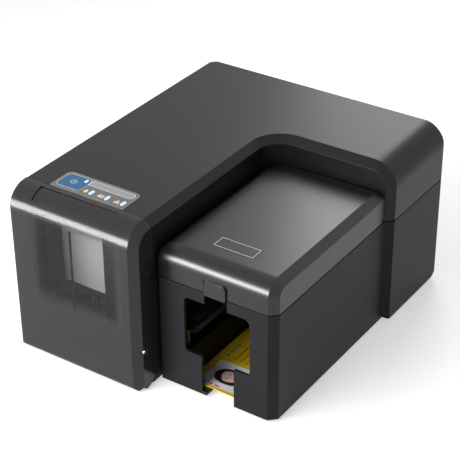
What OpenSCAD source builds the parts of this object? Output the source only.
// Desktop inkjet printer for plastic identity cards.
// Origin: middle of the footprint, on the surface the feet stand on. +Z up, the card door faces -Y.

/* [Casing] */
// Width over the two side faces
body_w = 223; // [219:1:235]
// Depth from the face of the card door to the rear face
body_d = 267; // [264:1:285]
// Height of the casing without its feet
body_h = 140; // [138:1:150]
// Height of the parting line above the casing's underside
part_h = 91.8; // [90:0.2:94]
// Wall thickness of the two casing halves
wall = 2.6; // [2:0.1:3]
// Gap left between mouldings at a seam
seam = 1; // [0.6:0.1:1.2]
// How far the wing that holds the blank cards reaches past the middle, towards the right
wing_reach = 3.3; // [2.8:0.1:5]
// Depth from the far end of the card bay to the wall behind the lid
park_d = 56.2; // [55:0.1:60]
// Chamfer that follows every inner edge of the top cover, the door and the lid
edge_chamfer = 6; // [4.5:0.5:7]
// Radius of the corner where wing and rear section meet
recess_r = 21; // [16:0.5:24]
// Radius of the top right edge
shoulder_r = 20; // [16:0.5:24]
// Radius of the rear top edge and the left top edge
soft_edge_r = 0.8; // [0.6:0.1:3]
// Radius of the upright rear left corner
rear_left_r = 9; // [6:0.5:14]
// Radius of the upright rear right corner
rear_right_r = 1.5; // [1:0.1:9]
// Radius along the bottom of the rear section
bottom_r = 8; // [5:0.5:11]
// Height of the rubber feet
foot_h = 2; // [2:0.5:5]
// Radius of the rubber feet
foot_r = 8; // [6:0.5:10]

/* [Card door] */
// Depth of the door's side walls
door_d = 16.1; // [15:0.1:18]
// Thickness of the door moulding
door_wall = 2.4; // [2:0.1:2.8]
// Radius of the curved top of the door
door_top_r = 19; // [17:0.5:21]
// Chamfer down the door's left edge
door_left_chamfer = 1; // [0.8:0.1:2.5]
// Distance of the door's inner rib from the casing's left side
rib_inset = 53.6; // [40:0.1:60]
// Height of the rib's lower end above the casing's underside
rib_h = 47; // [40:0.5:60]
// Radius along the bottom of the door
door_bottom_r = 5; // [4:0.5:6]
// Height of the door's pivot above the casing's underside
door_pivot_h = 11.5; // [11:0.1:12]
// How far the door hangs below the casing's underside
door_drop = 1; // [0:0.1:1.1]
// Distance of the door's pivot behind the door face
door_pivot_y = 8.5; // [8:0.1:9]
// Radius of the door's hinge pins
door_pin_r = 2; // [1.5:0.1:2.4]

/* [Lid] */
// Height of the lid's top above the casing's underside
lid_top_h = 118.1; // [116:0.1:120]
// Wall thickness of the lid
lid_wall = 2.2; // [1.8:0.1:2.6]
// Radius of the lid's front top edge
lid_front_r = 12.5; // [10:0.5:14]
// Radius of the rear edge that rolls about the hinge line
lid_hinge_r = 6; // [6:0.1:7]
// Plan radius of the lid's rear left corner, wide enough to swing past the recess corner
lid_corner_r = 32; // [30:0.5:36]
// Radius of the lid's hinge pins
lid_pin_r = 1.5; // [1.2:0.1:1.7]
// Width of the finger tab
tab_w = 18.5; // [14:0.5:22]
// Height of the finger tab
tab_h = 12.4; // [11:0.1:14]
// Distance of the tab's middle from the lid's middle, towards the left
tab_shift = 0.3; // [-4:0.1:4]

/* [Cards] */
// Width of a card
card_w = 53.98; // [53.5:0.01:54.5]
// Length of a card
card_l = 85.6; // [85:0.01:86]
// Thickness of a card
card_t = 0.76; // [0.5:0.01:1]
// Corner radius of a card
card_r = 3.18; // [2.5:0.01:4]
// Height of the card path above the casing's underside
path_h = 46; // [45.5:0.1:46.4]

/* [Output opening] */
// Width of the output opening
mouth_w = 56.8; // [56.4:0.1:58]
// Height of the opening's top edge above the casing's underside
mouth_top_h = 82; // [80:0.5:84]
// Height of the left sill above the casing's underside
sill_left_h = 34; // [31:0.5:40]
// Height of the right sill above the casing's underside
sill_right_h = 33.4; // [31:0.1:40]
// Width of the finger slot
slot_w = 28; // [24:0.5:30]
// Distance of the finger slot's left edge from the opening's left edge
slot_inset = 14.9; // [13:0.1:17]
// Depth of the finger slot in the floor
slot_d = 24; // [18:0.5:30]

/* [Card hopper] */
// Distance of the card hopper's left inner wall from the casing's left side
hopper_inset = 13.5; // [13:0.1:14.5]
// Sideways play of the cards in the hopper
hopper_play = 1; // [0.6:0.1:1.4]
// Thickness of the hopper's walls
hopper_wall = 2; // [1.6:0.1:2.4]
// Height of the loading mouth's lower edge above the casing's underside
load_sill_h = 28; // [24:0.5:33]
// Height of the loading mouth's upper edge above the casing's underside
load_top_h = 114.5; // [111:0.5:118]
// Room between the stack of blank cards and the loading mouth's upper edge
stack_room = 6.5; // [6:0.5:20]

/* [Card feed] */
// Radius of the rubber feed tyres
tyre_r = 7; // [6:0.1:7.4]
// Length of the rubber feed tyres
tyre_l = 45; // [30:1:50]
// Radius of the feed shafts
shaft_r = 2.5; // [2:0.1:3]
// Radius of the pinch rollers
pinch_r = 4.5; // [4:0.1:5]
// Radius of the pinch roller shafts
pinch_shaft_r = 2; // [1.5:0.1:2.4]
// Radius of the timing belt pulleys
pulley_r = 6; // [5:0.1:6.2]
// Thickness of the timing belts
belt_t = 1.2; // [0.8:0.1:1.4]
// Width of the timing belts
belt_w = 5; // [4:0.5:5]
// Gear module
gear_module = 1; // [0.9:0.05:1.1]
// Teeth on the feed gear
gear_teeth = 24; // [20:1:26]
// Teeth on the motor pinion
pinion_teeth = 12; // [10:1:14]
// Radius of the feed motor
feed_motor_r = 12.5; // [10:0.5:12.5]
// Length of the feed motor
feed_motor_l = 30; // [24:1:34]

/* [Print carriage] */
// Radius of the carriage's main rod
rod_r = 3; // [2.5:0.1:3.4]
// Radius of the carriage's upper rod
guide_r = 2; // [1.6:0.1:2.4]
// Width of the carriage across its travel
carriage_w = 25.4; // [24:0.1:26]
// Length of the carriage along its travel
carriage_l = 32; // [30:0.5:33]
// Height of the carriage cradle
carriage_h = 40; // [34:0.5:41]
// Wall of the carriage cradle
carriage_wall = 1.8; // [1.4:0.1:2.2]
// Height of the ink cartridge
cartridge_h = 58; // [50:0.5:60]
// Radius of the carriage belt's pulleys
drive_pulley_r = 5; // [4:0.1:6]
// Radius of the carriage motor
drive_motor_r = 10.5; // [9:0.1:11]

/* [Control panel] */
// Width of the control panel
panel_w = 67.5; // [60:0.5:70]
// Depth of the control panel
panel_d = 24.5; // [22:0.5:27]
// Width of the power key
key_w = 20.5; // [18:0.5:21]
// Depth of the power key
key_d = 16.8; // [14:0.1:17.5]
// Travel of the power key
key_travel = 0.6; // [0.4:0.1:0.7]

/* [Fits] */
// Radial clearance of a shaft that turns in its bearing
running_fit = 0.05; // [0.02:0.01:0.09]
// Radial clearance of a pin or screw that is held fast
press_fit = 0.02; // [0.01:0.01:0.05]
// Gap between parts that pass each other
free_gap = 0.3; // [0.25:0.05:0.5]

/* [Hidden] */
$fn = 64;

// Reference planes of the casing
x_left = -body_w / 2;
x_right = body_w / 2;
y_front = -body_d / 2;
y_back = body_d / 2;
z_case = foot_h;
z_top = foot_h + body_h;
z_part = foot_h + part_h;
z_lower_top = z_part - seam / 2;
z_upper_base = z_part + seam / 2;
z_floor = z_case + wall;
x_wing = wing_reach;
shade_groove = 2.2;
shade_groove_d = 8;
housing_setback = 25.5;
x_house_left = x_wing + shade_groove;
x_house_right = x_right - edge_chamfer;
y_house = y_front + housing_setback;
plate_t = 1.5;
plate_y0 = y_house + shade_groove_d + wall + 0.3;
blank_y0 = plate_y0 + plate_t + 0.5;
blank_y1 = blank_y0 + card_l;
bin_y1 = blank_y1 + 1.5;
y_recess = bin_y1 + park_d;
recess_cx = x_wing + recess_r;
recess_cy = y_recess - recess_r;
// What a chamfer's leg loses for each unit that its solid is inset
chamfer_trim = 0.6;
far = 400;
skin = 0.01;

// Door and the wing's front
y_cheek = y_front + door_d + seam / 2;
cheek_step_h = 107.5;
z_cheek_step = z_case + cheek_step_h;
seam_top_d = 22.1;
y_door_top = y_front + seam_top_d - seam / 4;
y_wing_wall = y_front + seam_top_d + seam / 4;
z_door_base = z_case - door_drop;
door_pivot = [y_front + door_pivot_y, z_case + door_pivot_h];
door_lobe_r = door_pivot[1] - z_door_base + 0.2;
ear_w = 4;
ear_inset = door_wall + 2.5;
door_ears = [x_left + ear_inset, x_wing - ear_inset - ear_w];
pin_blind = 1;
door_screw = [y_front + 8, z_case + 34];
door_screw_r = 1.2;
door_screw_l = 5.4;

// Lid and its hinge
z_lid_top = z_case + lid_top_h;
y_lid_back = y_recess - 0.5;
lid_axis = [y_lid_back - lid_hinge_r, z_lid_top - lid_hinge_r];
lid_left_r = 7;
tab_x = (x_house_left + x_house_right) / 2 - tab_shift;
tab_drop = 1.2;
tab_proud = 1.4;
tab_groove = 1.2;
lid_ear_w = 4;
lid_ear_r = lid_hinge_r - lid_wall - free_gap - 0.1;
lid_ears = [x_house_left + 18, x_house_right - 12 - lid_ear_w];
badge_size = [34.5, 13, 0.8];
badge_at = [x_house_right - 50.1, y_house + 28.5];

// Card path
z_path = z_case + path_h;
hopper_x0 = x_left + hopper_inset;
hopper_x1 = hopper_x0 + card_w + hopper_play;
blank_x = (hopper_x0 + hopper_x1) / 2;
z_blank = z_path + free_gap;
blank_count = floor((z_case + load_top_h - stack_room - z_blank) / card_t);
z_stack = z_blank + blank_count * card_t;
hopper_back = blank_y1 + hopper_play + 1;
z_hopper_top = z_top - wall - 6.5;
weight_t = 4;

// Output opening and bin
mouth_x0 = x_house_left + 22;
mouth_x1 = mouth_x0 + mouth_w;
slot_x0 = mouth_x0 + slot_inset;
slot_x1 = slot_x0 + slot_w;
notch_x0 = slot_x0 + 3.8;
bin_wall = 1.5;
bin_floor = 2.2;
z_bin = z_floor + bin_floor;
bin_x0 = mouth_x0 + 0.1;
bin_x1 = mouth_x1 - 0.1;
bin_y0 = y_house + wall + 0.2;
print_x = (bin_x0 + bin_x1) / 2 - 0.5;
print_y0 = bin_y0 + 0.8;
z_print = z_bin + 0.5;

// Feed train: every feed shaft lies at one height
z_shaft = z_path - tyre_r;
pick_x = blank_x + 10;
infeed_x = hopper_x1 + hopper_wall + 9.6;
transport_x = x_wing - 3.3;
exit_x = transport_x + 17;
z_pinch = z_path + 0.8 + pinch_r;
plate_y1 = blank_y1 + 0.5;
tyre_y0 = plate_y0 + 12;
pulley_y = hopper_back + hopper_wall + 0.6;
gear_y = pulley_y + belt_w + 2;
gear_w = 4;
shaft_end = gear_y + gear_w + 1;
gear_r = gear_module * gear_teeth / 2;
pinion_r = gear_module * pinion_teeth / 2;
motor_angle = -46;
motor_x = infeed_x + (gear_r + pinion_r) * cos(motor_angle);
motor_z = z_shaft + (gear_r + pinion_r) * sin(motor_angle);
motor_shaft_r = 1.5;
rotor_depth = 8;
platen_t = 1.6;
sensor_x = (infeed_x + transport_x) / 2;
sensor_y = tyre_y0 - 5.5;

// Carriage
carriage_x0 = x_house_left + 3.1;
carriage_x1 = carriage_x0 + carriage_w;
y_frame_rear = lid_axis[0] - lid_ear_r - plate_t;
y_frame_front = y_house + wall + 0.8;
carriage_y1 = y_frame_rear - 1;
carriage_y0 = carriage_y1 - carriage_l;
z_nozzle = z_path + 2.3;
z_cradle = z_nozzle + 1.7;
z_rod = z_part + 2.2;
z_guide = z_rod + 9.5;
rod_x = carriage_x1 + rod_r + 1.5;
bearing_x1 = rod_x + rod_r + 1.5;
bearing_z0 = z_rod - rod_r - 1.5;
bearing_z1 = z_guide + guide_r + 1.5;
z_frame_top = bearing_z1;
z_drive = z_rod + 2;
drive_x = bearing_x1 + 3.3;
drive_w = 2.4;
drive_y_rear = y_frame_rear - drive_motor_r - 1.5;
drive_y_front = y_frame_front + plate_t + drive_pulley_r + belt_t + 2.5;
frame_tab_x = bearing_x1 + 0.6;
frame_tab_t = 1.4;
idler_pin_r = 1.5;
snout_y0 = carriage_y0 + 2;
snout_l = 10;
station_y0 = snout_y0 - 1;
z_station = z_path - 4;
wiper_t = 1.2;

// Electronics
board_w = 104;
board_x0 = x_left + 51.5;
board_x1 = board_x0 + board_w;
board_y0 = y_back - 62;
board_y1 = y_back - wall - 4;
board_t = 1.6;
z_board = z_floor + 6.4;
port_d = 12;
// Each connector: distance from the board's left edge, width, height
ports = [[8, 10, 11], [34, 12.5, 11], [60, 16, 13.6]];

// Control panel
panel_x0 = (x_left + x_wing - panel_w) / 2 - 2.15;
panel_t = 1.2;
panel_corner_r = 5;
z_panel = z_top + 0.2;
key_x0 = panel_x0 + 3;
key_y0 = y_wing_wall + 4.3;
key_corner_r = 3;
z_switch_board = z_top - wall - 5.6;
switch_h = 1.4;
key_flange_t = 1;
key_stem_z = z_switch_board + board_t + switch_h + key_travel + 0.2;
// Indicator lenses: middle from the panel's front left corner, then width and length
lens_at = [[20.6, 17.9, 2.4, 4], [34, 7, 2.8, 6], [48.5, 7, 2.8, 6], [63, 7, 2.8, 6]];

// Screw bosses that join the casing halves
boss_r = 4;
boss_bore_r = 1.7;
screw_r = 1.5;
boss_at = [
    [x_left + 8, y_back - 9.5],
    [x_right - 9.5, y_back - 9.5],
    [x_left + 7.5, hopper_back + 12],
    [x_wing - 13, y_wing_wall + 5]
];
foot_at = [
    [x_left + 16, y_wing_wall + 14],
    [x_left + 16, y_back - 18],
    [x_house_right - 12, y_house + 14],
    [x_right - 18, y_back - 18]
];
foot_peg_r = 3;

// ---- Helpers ----

// Box between two corners
module block(a, b) {
    translate(a) cube(b - a);
}

// Prism along X of an outline drawn in Y and Z
module along_x(x0, x1) {
    translate([x0, 0, 0]) rotate([90, 0, 90]) linear_extrude(x1 - x0) children();
}

// Prism along Y of an outline drawn in X and Z
module along_y(y0, y1) {
    translate([0, y1, 0]) rotate([90, 0, 0]) linear_extrude(y1 - y0) children();
}

// Prism along Z of an outline drawn in X and Y
module along_z(z0, z1) {
    translate([0, 0, z0]) linear_extrude(z1 - z0) children();
}

// Round bars along each axis
module bar_x(x0, x1, y, z, r) {
    translate([x0, y, z]) rotate([0, 90, 0]) cylinder(h = x1 - x0, r = r);
}

module bar_y(y0, y1, x, z, r) {
    translate([x, y1, z]) rotate([90, 0, 0]) cylinder(h = y1 - y0, r = r);
}

module bar_z(z0, z1, x, y, r) {
    translate([x, y, z0]) cylinder(h = z1 - z0, r = r);
}

// What a fillet of radius r removes from a corner whose inside lies towards (sx, sy)
module corner_waste(x, y, sx, sy, r) {
    difference() {
        translate([x - (sx > 0 ? 1 : r), y - (sy > 0 ? 1 : r)]) square(r + 1);
        translate([x + sx * r, y + sy * r]) circle(r);
    }
}

// Rectangle with its own radius at each corner: low left, low right, high right, high left
module rounded(x0, x1, y0, y1, r) {
    difference() {
        translate([x0, y0]) square([x1 - x0, y1 - y0]);
        if (r[0] > 0) corner_waste(x0, y0, 1, 1, r[0]);
        if (r[1] > 0) corner_waste(x1, y0, -1, 1, r[1]);
        if (r[2] > 0) corner_waste(x1, y1, -1, -1, r[2]);
        if (r[3] > 0) corner_waste(x0, y1, 1, -1, r[3]);
    }
}

// Wedge that cuts a chamfer off the corner (u, v); the corner points towards (su, sv)
module edge_cut(u, v, su, sv, leg) {
    polygon([[u - su * (leg + 1), v + sv], [u + su, v - sv * (leg + 1)], [u + su, v + sv]]);
}

// Cone that a chamfer follows round an edge of radius r; along its axis it narrows by as much as it rises
module edge_cone(r, leg) {
    translate([0, 0, -leg - 1]) cylinder(h = leg + 2, r1 = r + 1, r2 = r - leg - 1);
}

// Closed loop of a belt around two equal pulleys: outline between radius r and r + t
module belt_loop(a0, a1, b, r, t) {
    difference() {
        union() {
            translate([a0, b - r - t]) square([a1 - a0, 2 * (r + t)]);
            translate([a0, b]) circle(r + t);
            translate([a1, b]) circle(r + t);
        }
        translate([a0, b - r]) square([a1 - a0, 2 * r]);
        translate([a0, b]) circle(r);
        translate([a1, b]) circle(r);
    }
}

// Spur gear outline with plain tapered teeth, one tooth pointing at angle 0
module gear_outline(teeth) {
    pitch_r = gear_module * teeth / 2;
    root_r = pitch_r - 1.1 * gear_module;
    tip_r = pitch_r + 0.8 * gear_module;
    root_half = 0.62 * gear_module;
    tip_half = 0.3 * gear_module;
    circle(root_r);
    for (i = [0 : teeth - 1]) {
        rotate(i * 360 / teeth) polygon([
            [root_r - 0.5, -root_half], [tip_r, -tip_half], [tip_r, tip_half], [root_r - 0.5, root_half]
        ]);
    }
}

// ---- Casing ----

// Solid of the top cover, inset by t on every side
module cover_solid(t, base) {
    leg = edge_chamfer - chamfer_trim * t;
    xw = x_wing - t;
    xr = x_right - t;
    yr = y_recess + t;
    zt = z_top - t;
    shoulder_x = x_right - shoulder_r;
    shoulder_z = z_top - shoulder_r;
    difference() {
        intersection() {
            along_z(base, zt) cover_plan(t);
            along_y(-far, far) rounded(x_left + t, xr, -far, zt, [0, 0, shoulder_r - t, max(0, soft_edge_r - t)]);
            along_x(-far, far) rounded(-far, y_back - t, -far, zt, [0, 0, max(0, soft_edge_r - t), 0]);
        }
        along_y(-far, recess_cy) edge_cut(xw, zt, 1, 1, leg);
        along_x(recess_cx, shoulder_x) edge_cut(yr, zt, -1, 1, leg);
        translate([recess_cx, recess_cy, zt - leg]) mirror([0, 0, 1]) edge_cone(recess_r + t + leg, leg);
        along_z(-far, shoulder_z) column_chamfer(t);
        difference() {
            block([shoulder_x, yr - 1, shoulder_z], [far, yr + leg + 1, far]);
            translate([shoulder_x, yr, shoulder_z]) rotate([90, 0, 0]) edge_cone(shoulder_r - t, leg);
        }
    }
}

// Upright chamfer where the rear section steps out past the housing
module column_chamfer(t) {
    edge_cut(x_right - t, y_recess + t, 1, -1, edge_chamfer - chamfer_trim * t);
}

function rear_radii(t) = [0, 0, max(rear_right_r - t, 0), rear_left_r - t];

module cover_plan(t) {
    difference() {
        rounded(x_left + t, x_right - t, y_wing_wall + t, y_back - t, rear_radii(t));
        difference() {
            translate([x_wing - t, -far]) square([far, far + y_recess + t]);
            corner_waste(x_wing - t, y_recess + t, 1, -1, recess_r + t);
        }
    }
}

// Cheeks that carry the wing's side walls forward to the door
module cheeks(z0, z1) {
    for (x = [x_left, x_wing - wall]) {
        block([x, y_cheek, z0], [x + wall, y_wing_wall + 1, z1]);
    }
}

module loading_mouth() {
    r = 8;
    along_y(y_wing_wall - 1, y_wing_wall + wall + 1) {
        rounded(hopper_x0, hopper_x1, z_case + load_sill_h, z_case + load_top_h, [r, r, r, r]);
    }
}

module top_cover() {
    color("#3a3a3c") {
        difference() {
            cover_solid(0, z_upper_base);
            cover_solid(wall, z_upper_base - 1);
            loading_mouth();
            panel_pocket();
        }
        cheeks(z_upper_base, z_cheek_step);
        intersection() {
            cover_solid(wall / 2, z_upper_base);
            for (p = boss_at) {
                difference() {
                    bar_z(z_upper_base, z_top - wall / 2, p[0], p[1], boss_r);
                    bar_z(z_upper_base - 1, z_upper_base + 14, p[0], p[1], screw_r + press_fit);
                }
            }
        }
    }
}

// Shallow seat of the panel, with the holes for the key and the lenses
module panel_pocket() {
    along_z(z_panel - panel_t, z_top + 1) panel_outline(0.1);
    along_z(z_top - wall - 1, z_top + 1) key_outline(0.5);
    for (p = lens_at) {
        translate([panel_x0 + p[0], y_wing_wall + p[1], z_top - wall - 1]) {
            linear_extrude(wall + 2) lens_outline(p, 0.2);
        }
    }
}

module panel_outline(grow) {
    y0 = y_wing_wall + (grow > 0 ? -1 : 0.2);
    r = panel_corner_r;
    rounded(panel_x0 - grow, panel_x0 + panel_w + grow, y0, y_wing_wall + panel_d + grow, [0, 0, r, r]);
}

module key_outline(grow) {
    r = key_corner_r;
    rounded(key_x0 - grow, key_x0 + key_w + grow, key_y0 - grow, key_y0 + key_d + grow, [r, r, r, r]);
}

module lens_outline(lens, grow) {
    half = [lens[2] / 2 + grow, lens[3] / 2 + grow];
    r = half[0] - skin;
    rounded(-half[0], half[0], -half[1], half[1], [r, r, r, r]);
}

// Outline of the lower casing without the rear section's rounded underside
module housing_plan(t) {
    leg = edge_chamfer - chamfer_trim * t;
    x1 = x_house_right - t;
    y0 = y_house + t;
    polygon([
        [x_house_left + t, y0], [x1 - leg, y0], [x1, y0 + leg], [x1, y_back - 3 * bottom_r],
        [x_house_left + t, y_back - 3 * bottom_r]
    ]);
}

// Rear section of the lower casing, inset by t
module rear_lower_solid(t, z0, z1) {
    intersection() {
        along_z(z0, z1) difference() {
            rounded(x_left + t, x_right - t, y_recess + t, y_back - t, rear_radii(t));
            column_chamfer(t);
        }
        along_x(-far, far) {
            rounded(y_recess + t, y_back - t, z_case + t, far, [bottom_r - t, bottom_r - t, 0, 0]);
        }
    }
}

module lower_case() {
    cover_y1 = y_back - 3 * bottom_r;
    color("#303032") {
        difference() {
            union() {
                block([x_left, y_wing_wall, z_case], [x_wing, cover_y1, z_lower_top]);
                cheeks(z_case, z_lower_top);
                along_z(z_case, z_lower_top) housing_plan(0);
                block([x_wing - 1, y_house + shade_groove_d, z_case], [x_house_left + 1, cover_y1, z_lower_top]);
                rear_lower_solid(0, z_case, z_lower_top);
                door_ear_arms();
            }
            difference() {
                union() {
                    block([x_left + wall, y_wing_wall + wall, z_floor], [x_wing - wall, cover_y1, far]);
                    along_z(z_floor, far) housing_plan(wall);
                    block(
                        [x_wing - wall - 1, y_house + shade_groove_d + wall, z_floor],
                        [x_house_left + wall + 1, cover_y1, far]
                    );
                    rear_lower_solid(wall, z_floor, far);
                }
                for (p = boss_at) bar_z(z_case, z_lower_top, p[0], p[1], boss_r);
            }
            loading_mouth();
            output_mouth();
            for (x = [x_left, x_wing - wall]) {
                bar_x(x - 1, x + wall + 1, door_pivot[0], door_pivot[1], door_lobe_r + 1);
            }
            for (x = door_ears) bar_x(x - 1, x + ear_w + 1, door_pivot[0], door_pivot[1], door_pin_r + press_fit);
            for (p = boss_at) {
                bar_z(z_case - 1, far, p[0], p[1], boss_bore_r);
                bar_z(z_case - 1, z_case + 2.2, p[0], p[1], 3);
            }
            for (p = foot_at) bar_z(z_case - 1, z_floor + 1, p[0], p[1], foot_peg_r + press_fit);
            for (p = ports) {
                x = board_x0 + p[0];
                block(
                    [x - free_gap, y_back - wall - 1, z_board + board_t - free_gap],
                    [x + p[1] + free_gap, y_back + 1, z_board + board_t + p[2] + free_gap]
                );
            }
        }
    }
}

// Arms that carry the door's hinge pins
module door_ear_arms() {
    r = door_pin_r + 1.6;
    for (x = door_ears) {
        bar_x(x, x + ear_w, door_pivot[0], door_pivot[1], r);
        block([x, door_pivot[0], door_pivot[1] - r], [x + ear_w, y_wing_wall + 1, door_pivot[1] + r]);
    }
}

// Stepped output opening, its tab notch and the finger slot
module output_mouth() {
    r = 4;
    z_sill_left = z_case + sill_left_h;
    z_sill_right = z_case + sill_right_h;
    z_mouth_top = z_case + mouth_top_h;
    y0 = y_house - 1;
    y1 = y_house + wall + 1;
    along_y(y0, y1) {
        rounded(mouth_x0, slot_x1, z_sill_left, z_mouth_top, [r, 0, 0, r]);
        rounded(slot_x0, mouth_x1, z_sill_right, z_mouth_top, [0, r - 1, r + 1, 0]);
        translate([slot_x0, z_floor]) square([slot_w, z_mouth_top - z_floor - 1]);
    }
    block([tab_x - tab_w / 2 - 0.5, y0, z_mouth_top - 1], [tab_x + tab_w / 2 + 0.5, y1, far]);
    block([notch_x0, y0, z_case - 1], [slot_x1, y_house + slot_d, z_floor + 1]);
}

module rubber_feet() {
    color("#1c1c1c") for (p = foot_at) {
        bar_z(0, z_case, p[0], p[1], foot_r);
        bar_z(z_case - skin, z_floor, p[0], p[1], foot_peg_r);
    }
}

module case_screws() {
    color("#8c8f94") for (p = boss_at) {
        difference() {
            bar_z(z_case + 0.4, z_case + 2.2, p[0], p[1], 2.7);
            bar_z(z_case, z_case + 1.2, p[0], p[1], 1.1);
        }
        bar_z(z_case + 2.2 - skin, z_upper_base + 10, p[0], p[1], screw_r);
    }
}

// ---- Control panel ----

module control_panel() {
    color("#7d7a70") along_z(z_panel - panel_t, z_panel) difference() {
        panel_outline(0);
        key_outline(0.4);
        for (p = lens_at) translate([panel_x0 + p[0], y_wing_wall + p[1]]) lens_outline(p, 0.1);
    }
}

module indicator_lenses() {
    color("#9fc4ff") for (p = lens_at) {
        translate([panel_x0 + p[0], y_wing_wall + p[1], z_switch_board + board_t]) {
            linear_extrude(z_panel + 0.3 - z_switch_board - board_t) lens_outline(p, 0);
        }
    }
}

// Key cap, its stem, and the flange that keeps it under the cover
module power_button() {
    z_flange = z_top - wall - free_gap - key_flange_t;
    lens = lens_at[0];
    color("#2a74a8") {
        difference() {
            union() {
                along_z(z_flange, z_panel + 0.2) key_outline(0);
                along_z(z_flange, z_flange + key_flange_t) key_outline(1.2);
            }
            translate([panel_x0 + lens[0], y_wing_wall + lens[1], z_flange - 1]) {
                linear_extrude(far) lens_outline(lens, 0.3);
            }
        }
        bar_z(key_stem_z, z_flange + skin, key_x0 + key_w / 2, key_y0 + key_d / 2, 1.8);
    }
}

module panel_board() {
    color("#1f5a3a") block(
        [panel_x0 + 1, y_wing_wall + wall + 0.5, z_switch_board],
        [panel_x0 + panel_w - 1, y_wing_wall + panel_d - 2, z_switch_board + board_t]
    );
    color("#2c2c2c") for (x = [panel_x0 + 28, panel_x0 + panel_w - 2.8]) {
        y = y_wing_wall + panel_d - 5;
        bar_z(z_switch_board + board_t - skin, z_top - wall, x, y, 1.4);
    }
}

module key_switch() {
    x = key_x0 + key_w / 2;
    y = key_y0 + key_d / 2;
    z0 = z_switch_board + board_t;
    color("#c8c8c8") block([x - 3, y - 3, z0], [x + 3, y + 3, z0 + switch_h - 0.4]);
    color("#202020") bar_z(z0 + switch_h - 0.4 - skin, z0 + switch_h, x, y, 1.5);
}

// ---- Card door ----

// Solid of the door, inset by t, with its chamfer rolled over the curved top
module door_solid(t) {
    leg = edge_chamfer - chamfer_trim * t;
    x1 = x_wing - t;
    y0 = y_front + t;
    zt = z_top - t;
    arc = [y_front + door_top_r, z_top - door_top_r];
    y1 = y_door_top + (t > 0 ? 1 : 0);
    left_leg = door_left_chamfer - chamfer_trim * t;
    difference() {
        intersection() {
            along_x(x_left + t, x1) rounded(y0, y1, z_door_base + t, zt, [door_bottom_r - t, 0, 0, door_top_r - t]);
            along_y(-far, far) {
                rounded(x_left + t, x1, z_door_base + t, zt, [door_bottom_r - t, door_bottom_r - t, 0, 0]);
            }
            along_z(-far, far) polygon([
                [x_left + t + left_leg, y0], [far, y0], [far, far], [x_left + t, far], [x_left + t, y0 + left_leg]
            ]);
        }
        along_z(-far, arc[1]) edge_cut(x1, y0, 1, -1, leg);
        along_y(arc[0], far) edge_cut(x1, zt, 1, 1, leg);
        difference() {
            block([x1 - leg - 1, -far, arc[1]], [far, arc[0], far]);
            translate([x1, arc[0], arc[1]]) rotate([0, 90, 0]) edge_cone(door_top_r - t, leg);
        }
    }
}

module front_door() {
    lobe_z = door_pivot[1] + sqrt(pow(door_lobe_r, 2) - pow(y_cheek - seam - door_pivot[0], 2));
    back_y = y_front + door_d - seam / 2;
    boss_x = [x_left + door_wall, x_wing - door_wall];
    color("#5c6064", 0.55) difference() {
        union() {
            difference() {
                door_solid(0);
                door_solid(door_wall);
                // The side walls stop at the cheeks, and curve round the pivot below
                block([-far, back_y, z_door_base - 1], [far, far, z_cheek_step + 0.5]);
                // The bottom is open behind a short lip
                block([x_left + door_wall, y_front + door_bottom_r, -far], [x_wing - door_wall, far, z_door_base + 4]);
            }
            for (x = [x_left, x_wing - door_wall]) intersection() {
                bar_x(x, x + door_wall, door_pivot[0], door_pivot[1], door_lobe_r);
                block([-far, door_pivot[0], z_door_base], [far, far, lobe_z + 4]);
            }
            bar_x(x_left + 1, boss_x[0] + 2, door_pivot[0], door_pivot[1], door_pin_r + 2);
            bar_x(boss_x[1] - 2, x_wing - 1, door_pivot[0], door_pivot[1], door_pin_r + 2);
            bar_x(boss_x[1] - 4, x_wing - 1, door_screw[0], door_screw[1], door_screw_r + 1.6);
        }
        bar_x(x_left + pin_blind, boss_x[0] + 3, door_pivot[0], door_pivot[1], door_pin_r + running_fit);
        bar_x(boss_x[1] - 3, x_wing - pin_blind, door_pivot[0], door_pivot[1], door_pin_r + running_fit);
        bar_x(x_wing - door_screw_l, x_wing + 1, door_screw[0], door_screw[1], door_screw_r + press_fit);
        grip_recess();
    }
}

// Shallow grip pressed into the curved top
module grip_recess() {
    depth = 0.9;
    arc = [y_front + door_top_r, z_top - door_top_r];
    x0 = x_left + 18;
    x1 = x_wing - 27;
    intersection() {
        bar_x(x0, x1, arc[0], arc[1], door_top_r + 1);
        block([x0, -far, z_top - 6], [x1, y_door_top - 4, far]);
        difference() {
            block([x0, -far, 0], [x1, far, far]);
            bar_x(x0 - 1, x1 + 1, arc[0], arc[1], door_top_r - depth);
        }
    }
}

// Small slotted screw in the door's right side
module door_side_screw() {
    y = door_screw[0];
    z = door_screw[1];
    color("#c4c6c9") {
        bar_x(x_wing - door_screw_l + 0.4, x_wing + skin, y, z, door_screw_r);
        difference() {
            bar_x(x_wing, x_wing + 0.9, y, z, 2.3);
            block([x_wing + 0.4, y - 1.5, z - 0.3], [x_wing + 2, y + 1.5, z + 0.3]);
        }
    }
}

// Slim upright rib inside the door that keeps the front cards in line
module door_rib() {
    x = x_left + rib_inset;
    y0 = y_front + door_wall;
    color("#1a1a1a") block([x, y0, z_case + rib_h], [x + 1.2, y0 + 1.2, z_top - door_top_r - 1]);
}

module door_strike() {
    x0 = x_left + door_wall;
    z0 = z_case + 112;
    color("#9a9da1") {
        block([x0, y_wing_wall - 8, z0], [x0 + 1.2, y_wing_wall - 6.4, z0 + 8]);
        block([x0, y_wing_wall - 7.6, z0], [x0 + 8, y_wing_wall - 6.4, z0 + 8]);
    }
}

module door_magnet() {
    x0 = x_left + door_wall + 2.2;
    z0 = z_case + 112.5;
    color("#4a4c50") block([x0, y_wing_wall - 6, z0], [x0 + 5.5, y_wing_wall, z0 + 7]);
}

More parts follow.
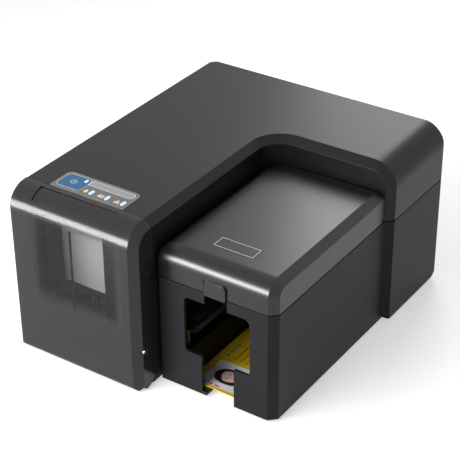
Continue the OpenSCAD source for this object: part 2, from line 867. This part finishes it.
module door_hinge_pins() {
    color("#b0b3b8") {
        bar_x(x_left + pin_blind + 0.2, door_ears[0] + ear_w, door_pivot[0], door_pivot[1], door_pin_r);
        bar_x(door_ears[1], x_wing - pin_blind - 0.2, door_pivot[0], door_pivot[1], door_pin_r);
    }
}

// ---- Lid over the cartridge and the output bin ----

// Solid of the lid, inset by t
module lid_solid(t) {
    leg = edge_chamfer - chamfer_trim * t;
    x0 = x_house_left + t;
    x1 = x_house_right - t;
    y0 = y_house + t;
    zt = z_lid_top - t;
    arc = [y_house + lid_front_r, z_lid_top - lid_front_r];
    base = z_upper_base - (t > 0 ? 1 : 0);
    hinge_r = lid_hinge_r - t;
    difference() {
        intersection() {
            along_x(x0, x1) difference() {
                rounded(y0, y_lid_back, base, zt, [0, t > 0 ? 0 : 1.5, 0, lid_front_r - t]);
                // The rear edge rolls about the hinge line
                difference() {
                    translate([lid_axis[0], lid_axis[1]]) square(far);
                    translate(lid_axis) circle(hinge_r);
                }
                if (t > 0) translate([lid_axis[0] + hinge_r, -far]) square([far, 2 * far]);
            }
            along_y(-far, far) rounded(x0, x1, base, zt, [0, 0, 0, lid_left_r - t]);
            along_z(-far, far) {
                rounded(x0, far, -far, y_lid_back + (t > 0 ? 1 : 0), [0, 0, 0, lid_corner_r - t]);
            }
        }
        along_z(-far, arc[1]) edge_cut(x1, y0, 1, -1, leg);
        along_y(arc[0], far) edge_cut(x1, zt, 1, 1, leg);
        difference() {
            block([x1 - leg - 1, -far, arc[1]], [far, arc[0], far]);
            translate([x1, arc[0], arc[1]]) rotate([0, 90, 0]) edge_cone(lid_front_r - t, leg);
        }
    }
}

module hopper_lid() {
    lug_w = 4;
    color("#3c3c3e") {
        difference() {
            union() {
                difference() {
                    lid_solid(0);
                    lid_solid(lid_wall);
                    // Nothing hangs below the hinge line behind it, so that the rear can swing
                    block(
                        [x_house_left + lid_wall, lid_axis[0] - 1, -far],
                        [x_house_right - lid_wall, far, lid_axis[1]]
                    );
                    // Nor does the skirt round the rear left corner, which would sweep into the carriage
                    block([-far, y_lid_back - lid_corner_r + 5, -far], [x_house_left + 30, far, lid_axis[1] - 2]);
                }
                for (x = lid_ears) {
                    bar_x(x + lid_ear_w + free_gap, x + lid_ear_w + free_gap + lug_w, lid_axis[0], lid_axis[1],
                        lid_hinge_r - lid_wall / 2);
                }
                lid_tab();
            }
            for (x = lid_ears) {
                bar_x(x, x + lid_ear_w + lug_w + 1, lid_axis[0], lid_axis[1], lid_pin_r + running_fit);
            }
            for (side = [-1, 1]) {
                x = tab_x + side * (tab_w / 2 + tab_groove / 2);
                block(
                    [x - tab_groove / 2, y_house - 1, z_upper_base - 1],
                    [x + tab_groove / 2, y_house + 0.7, z_upper_base + tab_h - tab_drop - 1]
                );
            }
            translate([badge_at[0], badge_at[1], z_lid_top - 0.6]) {
                translate([-badge_size[0] / 2, -badge_size[1] / 2, 0]) cube([badge_size[0], badge_size[1], 2]);
            }
        }
    }
}

// Finger tab that reaches down into the notch of the output opening
module lid_tab() {
    z0 = z_part - tab_drop;
    along_y(y_house - tab_proud, y_house + lid_wall) {
        rounded(tab_x - tab_w / 2, tab_x + tab_w / 2, z0, z0 + tab_h, [1, 1, 3, 3]);
    }
}

module lid_badge() {
    color("#2c2c2e") translate([badge_at[0], badge_at[1], z_lid_top - 0.6]) {
        difference() {
            translate([-badge_size[0] / 2 + 0.1, -badge_size[1] / 2 + 0.1, 0]) {
                cube([badge_size[0] - 0.2, badge_size[1] - 0.2, badge_size[2]]);
            }
            translate([-badge_size[0] / 2 + 1.2, -badge_size[1] / 2 + 1.2, badge_size[2] - 0.2]) {
                cube([badge_size[0] - 2.4, badge_size[1] - 2.4, 1]);
            }
        }
    }
}

module lid_hinge_brackets() {
    z0 = z_frame_top - 6;
    y0 = lid_axis[0] - lid_ear_r;
    color("#8c8f94") for (x = lid_ears) {
        difference() {
            union() {
                bar_x(x, x + lid_ear_w, lid_axis[0], lid_axis[1], lid_ear_r);
                block([x, y0, z0], [x + lid_ear_w, lid_axis[0] + 0.5, lid_axis[1]]);
            }
            bar_x(x - 1, x + lid_ear_w + 1, lid_axis[0], lid_axis[1], lid_pin_r + press_fit);
        }
    }
}

module lid_hinge_pins() {
    color("#b0b3b8") for (x = lid_ears) {
        bar_x(x, x + lid_ear_w + free_gap + 4, lid_axis[0], lid_axis[1], lid_pin_r);
    }
}

// ---- Blank card hopper ----

module card_hopper() {
    x0 = hopper_x0 - hopper_wall;
    x1 = hopper_x1 + hopper_wall;
    y0 = y_wing_wall + wall + 0.2;
    z0 = z_path - 1.7;
    pick_gap = tyre_r + 1.5;
    color("#26262a") difference() {
        block([x0, y0, z0], [x1, hopper_back + hopper_wall, z_hopper_top]);
        block([hopper_x0, y0 - 1, z_blank], [hopper_x1, hopper_back, far]);
        // Opening under the cards for the pick tyre
        block(
            [pick_x - pick_gap, tyre_y0 - 1.5, z0 - 1],
            [pick_x + pick_gap, tyre_y0 + tyre_l + 1.5, z_blank + 1]
        );
        // Thumb notch in the floor's front edge
        bar_z(z0 - 1, z_blank + 1, blank_x + 8, y0, 9);
        // Gate that lets one card through
        block([hopper_x1 - 1, blank_y0 - 1, z_blank], [x1 + 1, blank_y1 + 1, z_blank + 1.6 * card_t]);
        // Window in the left wall lightens the moulding
        block([x0 - 1, y0 + 22, z_path + 14], [hopper_x0 + 1, hopper_back - 16, z_hopper_top - 20]);
    }
    // Legs that stand the hopper on the casing floor
    color("#26262a") for (y = [y0, hopper_back - 6]) {
        block([x0, y, z_floor], [x0 + 6, y + 6, z0 + skin]);
    }
}

module card_outline(x, y0) {
    r = card_r;
    rounded(x - card_w / 2, x + card_w / 2, y0, y0 + card_l, [r, r, r, r]);
}

module blank_cards() {
    color("#e8e8e6") along_z(z_blank, z_stack) card_outline(blank_x, blank_y0);
}

module card_weight() {
    y0 = blank_y0 + 1;
    half = card_w / 2 - 0.5;
    color("#3a3a3e") {
        difference() {
            block([blank_x - half, y0, z_stack], [blank_x + half, blank_y1 - 12, z_stack + weight_t]);
            block(
                [blank_x - half + 3, y0 + 16, z_stack + 1.6],
                [blank_x + half - 3, blank_y1 - 15, z_stack + weight_t + 1]
            );
        }
        // Thumb lug at the front
        block([blank_x - 9, y0 - 4, z_stack + weight_t - 2], [blank_x + 9, y0 + 1, z_stack + weight_t]);
    }
}

// ---- Output bin and the printed card ----

module output_bin() {
    x0 = bin_x0 - bin_wall;
    x1 = bin_x1 + bin_wall;
    z_left = z_shaft - tyre_r - 1.5;
    z_right = z_path + 12;
    x_sweep = bearing_x1 + 1;
    color("#1e1e20") {
        difference() {
            block([x0, bin_y0, z_floor], [x1, bin_y1 + bin_wall, z_right]);
            block([bin_x0, bin_y0 - 1, z_bin], [bin_x1, bin_y1, far]);
            block([x0 - 1, bin_y0 - 1, z_left], [bin_x0 + 1, far, far]);
            // Room for the carriage to sweep over the back wall
            block([x0 - 1, bin_y0 - 1, z_path], [x_sweep, far, far]);
            block([notch_x0, bin_y0 - 1, z_floor - 1], [slot_x1, y_house + slot_d, z_bin + 1]);
        }
        // Low rails under the card
        for (x = [print_x - card_w / 2 + 1, print_x + card_w / 2 - 3]) {
            block([x, bin_y0 + 4, z_bin - skin], [x + 2, bin_y1 - 6, z_print]);
        }
    }
}

module printed_card() {
    color("#d8b414") along_z(z_print, z_print + card_t) card_outline(print_x, print_y0);
}

// ---- Card feed ----

feed_shafts = [pick_x, infeed_x, transport_x, exit_x];
pinch_shafts = [infeed_x, transport_x];

module feed_plate_front() {
    feed_plate_body(plate_y0, 1, false);
}

module feed_plate_rear() {
    feed_plate_body(plate_y1, -1, true);
}

// Upright sheet plate with a flange along its foot; the flange points along side
module feed_plate_body(y, side, motor_hole) {
    x0 = pick_x - 8;
    x1 = exit_x + 6;
    x_step = hopper_x1 + hopper_wall + 1.2;
    z_low = z_path - free_gap - platen_t;
    z_high = z_pinch + pinch_r + 1;
    flange = 8;
    y_flange = side > 0 ? y : y + plate_t - flange;
    color("#9a9da1") difference() {
        union() {
            block([x0, y, z_floor], [x1, y + plate_t, z_low]);
            block([x_step, y, z_floor], [transport_x + 5.4, y + plate_t, z_high]);
            block([x0, y_flange, z_floor], [x1, y_flange + flange, z_floor + plate_t]);
        }
        for (x = feed_shafts) bar_y(y - 1, y + plate_t + 1, x, z_shaft, shaft_r + running_fit);
        for (x = pinch_shafts) bar_y(y - 1, y + plate_t + 1, x, z_pinch, pinch_shaft_r + running_fit);
        if (motor_hole) bar_y(y - 1, y + plate_t + 1, motor_x, motor_z, 4);
    }
}

module card_platen() {
    x0 = hopper_x1 + hopper_wall;
    x1 = exit_x + tyre_r + 2;
    x_rest = transport_x + 5.8;
    z1 = z_path - free_gap;
    half = tyre_r + 0.5;
    y0 = plate_y0 + plate_t + free_gap;
    y1 = plate_y1 - free_gap;
    color("#2e2e32") difference() {
        union() {
            block([x0, y0, z1 - platen_t], [x1, y1, z1]);
            // Wide end that lies on the two feed plates
            block([x_rest, plate_y0, z1 - platen_t], [x1, plate_y1 + plate_t, z1]);
        }
        for (x = [infeed_x, transport_x, exit_x]) {
            block([x - half, tyre_y0 - 1, z1 - platen_t - 1], [x + half, tyre_y0 + tyre_l + 1, z1 + 1]);
        }
        bar_z(z1 - platen_t - 1, z1 + 1, sensor_x, sensor_y, 1.6);
    }
}

module card_sensor() {
    y = sensor_y;
    z1 = z_path - free_gap - platen_t;
    color("#202024") block([sensor_x - 3, y - 4, z1 - 4.5], [sensor_x + 3, y + 4, z1]);
    color("#7a1f1f") bar_z(z1 - skin, z1 + platen_t - free_gap, sensor_x, y, 1.2);
}

module feed_shaft(x, y1) {
    color("#b0b3b8") bar_y(plate_y0, y1, x, z_shaft, shaft_r);
}

module feed_tyre(x) {
    color("#33302c") difference() {
        bar_y(tyre_y0, tyre_y0 + tyre_l, x, z_shaft, tyre_r);
        bar_y(tyre_y0 - 1, tyre_y0 + tyre_l + 1, x, z_shaft, shaft_r);
    }
}

module feed_pulley(x) {
    color("#d8d8d4") difference() {
        bar_y(pulley_y, pulley_y + belt_w, x, z_shaft, pulley_r);
        bar_y(pulley_y - 1, pulley_y + belt_w + 1, x, z_shaft, shaft_r);
    }
}

module pick_shaft() {
    feed_shaft(pick_x, pulley_y + belt_w + 0.5);
}

module pick_tyre() {
    feed_tyre(pick_x);
}

module pick_pulley() {
    feed_pulley(pick_x);
}

module infeed_shaft() {
    feed_shaft(infeed_x, shaft_end);
}

module infeed_tyre() {
    feed_tyre(infeed_x);
}

module infeed_pulley() {
    feed_pulley(infeed_x);
}

module transport_shaft() {
    feed_shaft(transport_x, pulley_y + belt_w + 0.5);
}

module transport_tyre() {
    feed_tyre(transport_x);
}

module transport_pulley() {
    feed_pulley(transport_x);
}

module exit_shaft() {
    feed_shaft(exit_x, pulley_y + belt_w + 0.5);
}

module exit_tyre() {
    feed_tyre(exit_x);
}

module exit_pulley() {
    feed_pulley(exit_x);
}

// Driven gear on the infeed shaft, a gap between two teeth turned towards the pinion
module feed_gear() {
    color("#e4e0d2") along_y(gear_y, gear_y + gear_w) translate([infeed_x, z_shaft]) difference() {
        rotate(motor_angle + 180 / gear_teeth) gear_outline(gear_teeth);
        circle(shaft_r);
    }
}

// Pinion with the rotor shaft that runs into the motor
module motor_pinion() {
    color("#c9a227") {
        along_y(gear_y, gear_y + gear_w) translate([motor_x, motor_z]) {
            rotate(motor_angle + 180) gear_outline(pinion_teeth);
        }
        bar_y(plate_y1 - rotor_depth, gear_y + gear_w + 1, motor_x, motor_z, motor_shaft_r);
    }
}

module feed_motor() {
    flat_x = feed_motor_r - 1;
    color("#a5a8ac") difference() {
        union() {
            intersection() {
                bar_y(plate_y1 - feed_motor_l, plate_y1, motor_x, motor_z, feed_motor_r);
                block([motor_x - flat_x, -far, -far], [motor_x + flat_x, far, far]);
            }
            bar_y(plate_y1 - skin, plate_y1 + plate_t + 0.6, motor_x, motor_z, 3.8);
        }
        bar_y(plate_y1 - rotor_depth - 1, far, motor_x, motor_z, motor_shaft_r + running_fit);
    }
}

module feed_belt() {
    color("#1a1a1a") along_y(pulley_y, pulley_y + belt_w) {
        belt_loop(pick_x, exit_x, z_shaft, pulley_r + free_gap, belt_t);
    }
}

module pinch_roller(x) {
    color("#b0b3b8") bar_y(plate_y0, plate_y1 + plate_t + 1, x, z_pinch, pinch_shaft_r);
    color("#55524e") bar_y(tyre_y0, tyre_y0 + tyre_l, x, z_pinch, pinch_r);
}

module pinch_roller_left() {
    pinch_roller(infeed_x);
}

module pinch_roller_right() {
    pinch_roller(transport_x);
}

// ---- Print carriage ----

module engine_frame_front() {
    y = y_frame_front;
    x0 = carriage_x0 + 0.4;
    x1 = mouth_x0 - 1.9;
    z_arm = z_part - 2.4;
    tab_y1 = drive_y_front + 3;
    color("#9a9da1") difference() {
        union() {
            block([x0, y, z_floor], [x1, y + plate_t, z_frame_top]);
            block([x0, y, z_arm], [frame_tab_x + frame_tab_t, y + plate_t, z_frame_top]);
            block([frame_tab_x, y, z_drive - 4.5], [frame_tab_x + frame_tab_t, tab_y1, z_drive + 4.5]);
            bar_x(frame_tab_x, drive_x + drive_w + 1, drive_y_front, z_drive, idler_pin_r);
        }
        bar_y(y - 1, y + plate_t + 1, rod_x, z_rod, rod_r + press_fit);
        bar_y(y - 1, y + plate_t + 1, rod_x, z_guide, guide_r + press_fit);
    }
}

module engine_frame_rear() {
    y = y_frame_rear;
    x0 = carriage_x0 + 0.4;
    x1 = x_house_right - wall - 0.8;
    mount_x = drive_x + drive_w + 1;
    color("#9a9da1") difference() {
        union() {
            block([x0, y, z_floor], [x1, y + plate_t, z_part - 2]);
            block([lid_ears[0] - 1.5, y, z_floor], [x1, y + plate_t, z_frame_top]);
            block([x0, y, z_floor], [x1, y + 9, z_floor + plate_t]);
            block(
                [mount_x, drive_y_rear - drive_motor_r, z_drive - drive_motor_r],
                [mount_x + plate_t, y + 1, z_drive + drive_motor_r]
            );
        }
        bar_y(y - 1, y + plate_t + 1, rod_x, z_rod, rod_r + press_fit);
        bar_y(y - 1, y + plate_t + 1, rod_x, z_guide, guide_r + press_fit);
        bar_x(mount_x - 1, mount_x + plate_t + 1, drive_y_rear, z_drive, 3);
        // Window that lightens the plate
        block([carriage_x1 + 12, y - 1, z_floor + 22], [x1 - 12, y + plate_t + 1, z_part - 20]);
    }
}

module carriage_rods() {
    color("#c4c6c9") {
        bar_y(y_frame_front - 0.3, y_frame_rear + plate_t + 1, rod_x, z_rod, rod_r);
        bar_y(y_frame_front - 0.3, y_frame_rear + plate_t + 1, rod_x, z_guide, guide_r);
    }
}

module carriage() {
    x0 = carriage_x0;
    x1 = carriage_x1;
    t = carriage_wall;
    color("#2a2a2e") difference() {
        union() {
            block([x0, carriage_y0, z_cradle], [x1, carriage_y1, z_cradle + carriage_h]);
            block([x1 - 1, carriage_y0, bearing_z0], [bearing_x1, carriage_y1, bearing_z1]);
            // Clamp that holds the belt's lower run
            block(
                [bearing_x1 - 1, carriage_y0 + 10, z_drive - drive_pulley_r - 5],
                [drive_x - free_gap, carriage_y0 + 20, z_drive - drive_pulley_r]
            );
        }
        block([x0 + t, carriage_y0 + t, z_cradle + t], [x1 - t, carriage_y1 - t, far]);
        block([x0 + t + 1, snout_y0 - 0.5, -far], [x1 - t - 1, snout_y0 + snout_l + 0.5, far]);
        bar_y(-far, far, rod_x, z_rod, rod_r + running_fit);
        bar_y(-far, far, rod_x, z_guide, guide_r + running_fit);
    }
}

module ink_cartridge() {
    t = carriage_wall + 0.2;
    x0 = carriage_x0 + t;
    x1 = carriage_x1 - t;
    y0 = carriage_y0 + t;
    y1 = carriage_y1 - t;
    z0 = z_cradle + carriage_wall;
    color("#1b1b1d") {
        along_x(x0, x1) rounded(y0, y1, z0, z0 + cartridge_h, [0, 0, 3, 8]);
        block([x0 + 2, snout_y0 + 0.5, z_nozzle], [x1 - 2, snout_y0 + snout_l - 0.5, z0 + 1]);
    }
}

module carriage_belt() {
    color("#1a1a1a") along_x(drive_x, drive_x + drive_w) {
        belt_loop(drive_y_front, drive_y_rear, z_drive, drive_pulley_r + free_gap, belt_t);
    }
}

module carriage_motor() {
    x0 = drive_x + drive_w + 1 + plate_t;
    color("#a5a8ac") difference() {
        union() {
            bar_x(x0, x0 + 24, drive_y_rear, z_drive, drive_motor_r);
            bar_x(x0 - plate_t - 0.4, x0 + skin, drive_y_rear, z_drive, 2.8);
        }
        bar_x(-far, x0 + rotor_depth + 1, drive_y_rear, z_drive, motor_shaft_r + running_fit);
    }
}

// Pulley with the rotor shaft that runs into the motor
module motor_pulley() {
    color("#c9a227") {
        bar_x(drive_x, drive_x + drive_w, drive_y_rear, z_drive, drive_pulley_r);
        bar_x(drive_x - 0.6, drive_x + drive_w + 1 + plate_t + rotor_depth, drive_y_rear, z_drive, motor_shaft_r);
    }
}

module idler_pulley() {
    color("#d8d8d4") difference() {
        bar_x(drive_x, drive_x + drive_w, drive_y_front, z_drive, drive_pulley_r);
        bar_x(drive_x - 1, drive_x + drive_w + 1, drive_y_front, z_drive, idler_pin_r + running_fit);
    }
}

module service_station() {
    x0 = carriage_x0 + 1;
    x1 = carriage_x1;
    color("#3a3a3e") difference() {
        block([x0, station_y0, z_floor], [x1, carriage_y1 - 1, z_station]);
        cap_well(0.4);
        wiper_blade_at(wiper_t + 2 * press_fit);
        // Room for the waste ink pad
        block([x0 + 2, station_y0 - 1, z_floor + 2], [x1 - 2, carriage_y1 - 3, z_floor + 16]);
    }
}

module wiper_blade_at(t) {
    y = snout_y0 + snout_l + 6;
    x0 = carriage_x0 + 5;
    x1 = carriage_x1 - 4;
    block([x0, y - t / 2, z_station - 4], [x1, y + t / 2, z_nozzle - 0.2]);
}

module wiper_blade() {
    color("#5a5550") wiper_blade_at(wiper_t);
}

module cap_well(grow) {
    x0 = carriage_x0 + 4.2;
    x1 = carriage_x1 - 4.2;
    block(
        [x0 - grow, snout_y0 + 0.6 - grow, z_station - 8 - grow],
        [x1 + grow, snout_y0 + snout_l - 0.6 + grow, z_station + 1]
    );
}

module nozzle_cap() {
    x0 = carriage_x0 + 4.2;
    x1 = carriage_x1 - 4.2;
    y0 = snout_y0 + 0.6;
    y1 = snout_y0 + snout_l - 0.6;
    z1 = z_nozzle - 0.2;
    color("#5a5550") difference() {
        block([x0, y0, z_station - 6], [x1, y1, z1]);
        block([x0 + 1.2, y0 + 1.2, z1 - 2], [x1 - 1.2, y1 - 1.2, z1 + 1]);
    }
}

// ---- Electronics ----

module main_board() {
    color("#1f5a3a") block([board_x0, board_y0, z_board], [board_x1, board_y1, z_board + board_t]);
    color("#b59a4a") for (x = [board_x0 + 5, board_x1 - 5]) for (y = [board_y0 + 5, board_y1 - 5]) {
        bar_z(z_floor, z_board + skin, x, y, 2.6);
    }
    z = z_board + board_t - skin;
    color("#202024") {
        block([board_x0 + 30, board_y0 + 16, z], [board_x0 + 46, board_y0 + 32, z + 1.8]);
        block([board_x0 + 56, board_y0 + 12, z], [board_x0 + 66, board_y0 + 22, z + 1.5]);
        block([board_x0 + 12, board_y0 + 6, z], [board_x0 + 20, board_y0 + 30, z + 6]);
    }
    color("#2a3a5a") for (i = [0 : 2]) {
        bar_z(z, z + 11, board_x1 - 14, board_y0 + 12 + 12 * i, 4);
    }
}

module rear_connectors() {
    z0 = z_board + board_t;
    color("#85888c") for (p = ports) {
        x = board_x0 + p[0];
        difference() {
            block([x, y_back - port_d, z0], [x + p[1], y_back, z0 + p[2]]);
            block([x + 1.2, y_back - port_d + 3, z0 + 1.2], [x + p[1] - 1.2, y_back + 1, z0 + p[2] - 1.2]);
        }
    }
}

lower_case();
top_cover();
rubber_feet();
case_screws();
control_panel();
indicator_lenses();
power_button();
panel_board();
key_switch();
front_door();
door_rib();
door_strike();
door_magnet();
door_hinge_pins();
door_side_screw();
hopper_lid();
lid_badge();
lid_hinge_pins();
lid_hinge_brackets();
card_hopper();
blank_cards();
card_weight();
output_bin();
printed_card();
feed_plate_front();
feed_plate_rear();
card_platen();
card_sensor();
pick_shaft();
pick_tyre();
pick_pulley();
infeed_shaft();
infeed_tyre();
infeed_pulley();
feed_gear();
transport_shaft();
transport_tyre();
transport_pulley();
exit_shaft();
exit_tyre();
exit_pulley();
pinch_roller_left();
pinch_roller_right();
feed_belt();
feed_motor();
motor_pinion();
engine_frame_front();
engine_frame_rear();
carriage_rods();
carriage();
ink_cartridge();
carriage_belt();
carriage_motor();
motor_pulley();
idler_pulley();
service_station();
nozzle_cap();
wiper_blade();
main_board();
rear_connectors();
